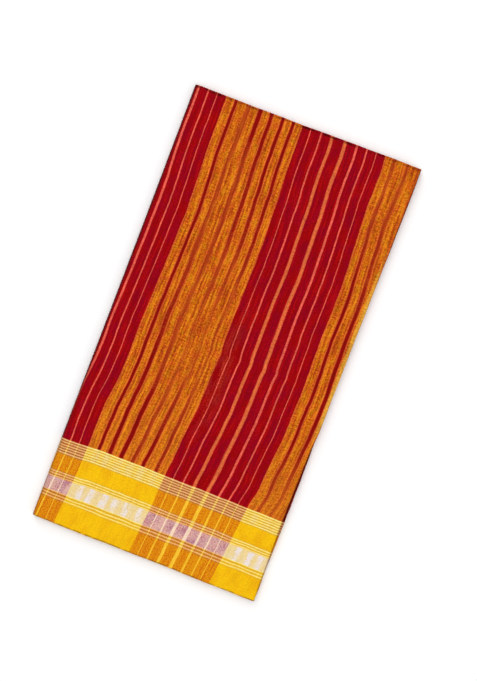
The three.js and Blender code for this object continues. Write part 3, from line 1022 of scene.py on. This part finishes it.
def border_colour(n, colours, stripes, threads, width, place):
    """The border's yellow and white warp over the same weft, with its fine pale lines."""
    line = n.most(stripes.fine, stripes.broad)
    crossing = n.total((threads.fleck, 1.1), (threads.warp, 0.3), (threads.weft, 0.8))
    on_red = n.minus(1.0, n.most(stripes.gold, n.times(line, 0.8)))
    speckled = n.times(on_red, n.span(crossing, 0.36, 0.62, 0.78, 1.0))
    dark = n.times(on_red, n.span(crossing, 0.46, 0.74, 0.0, 0.75))

    warmed = n.span(n.total((threads.patch, 0.6), (threads.fleck, 0.6)), 0.42, 0.72, 0.0, 0.38)
    bright = n.most(n.times(stripes.fine, 0.72), stripes.broad)
    yellow = n.layers(
        colours.yellow,
        (warmed, colours.orange),
        (speckled, colours.orange),
        (dark, colours.burnt_orange),
        (n.times(bright, n.span(threads.fleck, 0.3, 0.6, 0.7, 0.95)), colours.bright_line),
    )
    lilac = n.span(n.total((threads.patch, 0.7), (threads.fleck, 0.9)), 0.40, 0.66, 0.05, 1.0)
    patchy = n.span(n.total((threads.blotch, 0.8), (threads.speck, 0.5)), 0.32, 0.62, 0.2, 0.95)
    white = n.layers(
        colours.white,
        (speckled, colours.mauve),
        (n.times(on_red, lilac), colours.deep_mauve),
        (n.times(n.most(stripes.bare_white, 0.18), patchy), colours.lilac_white),
        (n.times(line, 0.95), colours.cream),
    )

    paled = n.band(width, *PALED, 1.0)
    drawn = n.plus(width, n.drift(place, 24, 9, 13, 0.4))
    pales, darks = (
        n.most(*(n.times(n.stripe(drawn, at, size, 0.6), how) for at, size, how in rows))
        for rows in (PALE_LINES, DARK_LINES)
    )
    broken = n.span(n.noise(place, 5, 2, 10), 0.25, 0.55, 0.65, 1.0)
    return n.layers(
        yellow,
        (n.band(width, *WHITE_BAND, 0.8), white),
        (n.times(stripes.bare_white, paled, 0.36, patchy), colours.lilac_white),
        (n.times(paled, on_red, 0.55), colours.rose_ground),
        (darks, n.mix(on_red, colours.olive_line, colours.umber_line)),
        (n.times(pales, broken), n.mix(speckled, colours.pale, colours.rose)),
    )


def striped_cotton(colours, cloth):
    """Plain-woven cotton whose stripes are charted along the cloth and across its width."""
    material, n = empty_material("handloom_cotton")
    chart = n.add("ShaderNodeUVMap", uv_map="weave")
    place = n.scale(chart.outputs[0], 1 / MM)  # in millimetres
    run, width, _ = n.add("ShaderNodeSeparateXYZ", {0: place}).outputs

    # The weft wanders a little, so that no stripe is quite straight, and its threads with it.
    wandered = n.plus(run, n.drift(place, 90, 85, 1, 0.6), n.drift(place, 40, 16, 2, 0.25))
    place = n.add("ShaderNodeCombineXYZ", {0: wandered, 1: width}).outputs[0]
    threads = Threads(n, place)
    stripes = Stripes(n, wandered, width, place)

    in_border = n.span(width, BORDER_DEPTH - 0.4, BORDER_DEPTH + 0.4, 1.0, 0.0)
    broken = n.span(n.noise(place, 9, 3, 12), 0.36, 0.62, 0.1, 0.85)
    less_on_gold = n.span(stripes.gold, 0.0, 1.0, 1.0, 0.55)
    # Painted shade beside the halving crease, where the cloth turns over out of the light.
    wear_and_painted_shade = n.times(n.stripe(width, *CREASE_SHADE), n.times(broken, 1.1), less_on_gold)
    # Painted shade round the bends, weaker in the border; below 0 the value makes the top turn's
    # rim paler instead.
    fold = n.add("ShaderNodeAttribute", attribute_name="fold").outputs["Fac"]
    fold = n.times(fold, n.span(in_border, 0.0, 1.0, 1.0, 0.45))
    colour = n.layers(
        body_colour(n, colours, stripes, threads, width),
        (in_border, border_colour(n, colours, stripes, threads, width, place)),
        # Painted shade along the selvage, where the stacked leaves' edges lie in shadow, over its
        # dense threads.
        (n.times(n.stripe(width, *SELVAGE_CORD_AND_SHADE), broken), colours.cord_and_painted_shade),
        (wear_and_painted_shade, colours.wear_and_painted_shade),
        (fold, colours.wear_and_painted_shade),
        # Below 0 the value lays a paler cream on the top turn's edge.
        (n.times(fold, -1.0), colours.pale_rim),
    )

    # Uneven dye and slubs, least in the border.
    uneven = n.total((threads.weft, 0.8), (threads.warp, 0.6), (threads.speck, 1.1))
    swings = [how * cloth.mottling for how in (BODY_UNEVEN, BORDER_UNEVEN)]
    swing = n.times(n.minus(uneven, 0.5), n.span(in_border, 0.0, 1.0, *swings))
    shade = n.most(n.plus(swing, 1.0), 0.2)
    colour = n.scale(colour, n.times(shade, DYE_DEPTH))

    # Thread relief, lower where the weft is sparse.
    warp = n.math("SINE", n.times(width, 2 * math.pi / WARP_PAIR))
    weft = n.math("SINE", n.times(run, 2 * math.pi / WEFT_PAIR))
    height = n.minus(n.plus(n.times(warp, weft, 0.25), uneven), n.times(stripes.gap, 0.35))
    relief = {"Distance": cloth.thread_relief, "Strength": 0.8, "Height": height}
    n.surface(
        {
            "Base Color": colour,
            "Roughness": n.span(threads.speck, 0.3, 0.7, 0.72, 0.92),
            "Specular IOR Level": 0.04,
            "Sheen Weight": 0.04,
            "Sheen Roughness": 0.35,
            "Normal": n.add("ShaderNodeBump", relief).outputs[0],
        }
    )
    return material


def cotton():
    found = bpy.data.materials.get("handloom_cotton")
    scene = bpy.context.scene
    return found or striped_cotton(scene.saree_colours, scene.saree_cloth)


# ---- Operators ----


def lay_cloth(name, node, route, spans):
    """Lays those spans of the route as one folded sheet that rides in place of its solid."""
    piece = cloth_piece(name, route, spans)
    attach(piece, "root")
    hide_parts(node)
    return {"FINISHED"}


class SAREE_OT_outer_panel(bpy.types.Operator):
    """Lays the outermost stretch: underside, closed fold, top and right-hand lip"""

    bl_idname = "saree.outer_panel"
    bl_label = "Outer panel"

    def execute(self, context):
        columns = {1: 106, 2: 2, "rest": 16, "spine": 13, "turn": 9}
        route = folded_route(stations=226, edge_columns=8, stretches=2, columns=columns)
        stop = route.span["leaf", 2][0] + 9  # over the next leaf's pressed edge
        return lay_cloth("outer_cloth", "outer_panel", route, [(0, stop)])


class SAREE_OT_under_fold(bpy.types.Operator):
    """Lays the fold below the outer panel, whose edge peeks out on the right"""

    bl_idname = "saree.under_fold"
    bl_label = "Fold below it"

    def execute(self, context):
        route = folded_route(stations=150, edge_columns=6)
        first, stop = route.span["leaf", 3][0], route.span["leaf", 4][1]
        return lay_cloth("tucked_cloth", "under_fold", route, [(first, stop)])


class SAREE_OT_inner_layers(bpy.types.Operator):
    """Lays the hidden turns, whose edges show on the right and at both ends"""

    bl_idname = "saree.inner_layers"
    bl_label = "Inner leaves"

    def execute(self, context):
        route = folded_route(stations=80, edge_columns=5)
        spans = [
            (route.span["leaf", 2][0] + 5, route.span["leaf", 3][0] + 1),
            (route.span["leaf", 4][1] - 1, route.span["leaf", 9][1]),
        ]
        return lay_cloth("inner_cloth", "inner_layers", route, spans)


def pale_floor_material(colour):
    """Plain pale paper, very slightly uneven."""
    material, n = empty_material("pale_paper")
    grain = n.noise(n.add("ShaderNodeTexCoord").outputs["Object"], 0.4, 0.4, 1)
    paper = n.mix(grain, colour, [c * 0.985 for c in colour])
    n.surface({"Base Color": paper, "Roughness": 0.9, "Specular IOR Level": 0.1})
    return material


class SAREE_OT_stage(bpy.types.Operator):
    """Sets out the pale floor, soft studio light and the camera"""

    bl_idname = "saree.stage"
    bl_label = "Stage"

    def execute(self, context):
        stage = context.scene.saree_stage
        bpy.ops.object.select_all(action="DESELECT")
        bpy.ops.mesh.primitive_plane_add(size=9.0, location=(0, 0, 0))
        floor = context.active_object
        floor.name = "pale_floor"
        floor.data.materials.append(pale_floor_material(stage.floor))

        world = bpy.data.worlds.new("studio")
        world.use_nodes = True
        background = world.node_tree.nodes["Background"]
        background.inputs["Color"].default_value = (1.0, 1.0, 1.0, 1.0)
        background.inputs["Strength"].default_value = stage.sky
        context.scene.world = world

        lights = [
            # name, place, size, share of the key's power
            ("key_light", (-0.1, 0.2, 3.2), 2.4, 1.0),
            ("side_light", (-1.5, 1.9, 2.6), 1.8, 0.34),
            ("fill_light", (2.2, -1.2, 2.6), 2.2, 0.30),
        ]
        for name, place, size, share in lights:
            bpy.ops.object.light_add(type="AREA", location=place)
            light = context.active_object
            light.name = name
            light.data.size = size
            light.data.energy = stage.key_power * share
            light.rotation_euler = aimed_at_pile(place)

        right = (math.cos(stage.turn), math.sin(stage.turn))
        up = (-math.sin(stage.turn), math.cos(stage.turn))
        x = right[0] * stage.across + up[0] * stage.down
        y = right[1] * stage.across + up[1] * stage.down
        cloth_plane = PILE_HEIGHT * MM
        bpy.ops.object.camera_add(rotation=(0, 0, stage.turn))
        camera = context.active_object
        camera.data.sensor_width = 36.0
        camera.data.lens = stage.lens
        height = stage.view_height * stage.lens / camera.data.sensor_width
        camera.location = (x, y, cloth_plane + height)
        camera.data.clip_end = 20.0
        context.scene.camera = camera
        context.scene.view_settings.view_transform = "Standard"
        return {"FINISHED"}


def aimed_at_pile(place):
    """The turn that points a light at the pile."""
    return (-Vector(place)).to_track_quat("-Z", "Y").to_euler()


class SAREE_PT_panel(bpy.types.Panel):
    """Lists the saree's pieces, sizes and colours"""

    bl_idname = "SAREE_PT_panel"
    bl_label = "Saree"
    bl_space_type = "VIEW_3D"
    bl_region_type = "UI"
    bl_category = "Saree"

    def draw(self, context):
        layout = self.layout
        scene = context.scene
        for settings in (scene.saree_cloth, scene.saree_colours, scene.saree_stage):
            column = layout.column(align=True)
            for name in settings.__annotations__:
                column.prop(settings, name)
        for operator in OPERATORS:
            layout.operator(operator.bl_idname)


GROUPS = {
    "saree_cloth": SareeCloth,
    "saree_colours": SareeColours,
    "saree_stage": SareeStage,
}
OPERATORS = [
    SAREE_OT_outer_panel,
    SAREE_OT_under_fold,
    SAREE_OT_inner_layers,
    SAREE_OT_stage,
]


def register():
    for cls in (*GROUPS.values(), *OPERATORS, SAREE_PT_panel):
        bpy.utils.register_class(cls)
    for name, group in GROUPS.items():
        setattr(bpy.types.Scene, name, bpy.props.PointerProperty(type=group))


def unregister():
    for name in GROUPS:
        delattr(bpy.types.Scene, name)
    for cls in reversed((*GROUPS.values(), *OPERATORS, SAREE_PT_panel)):
        bpy.utils.unregister_class(cls)


def main():
    register()
    bpy.ops.saree.stage()
    bpy.ops.saree.outer_panel()
    bpy.ops.saree.under_fold()
    bpy.ops.saree.inner_layers()


if __name__ == "__main__":
    main()
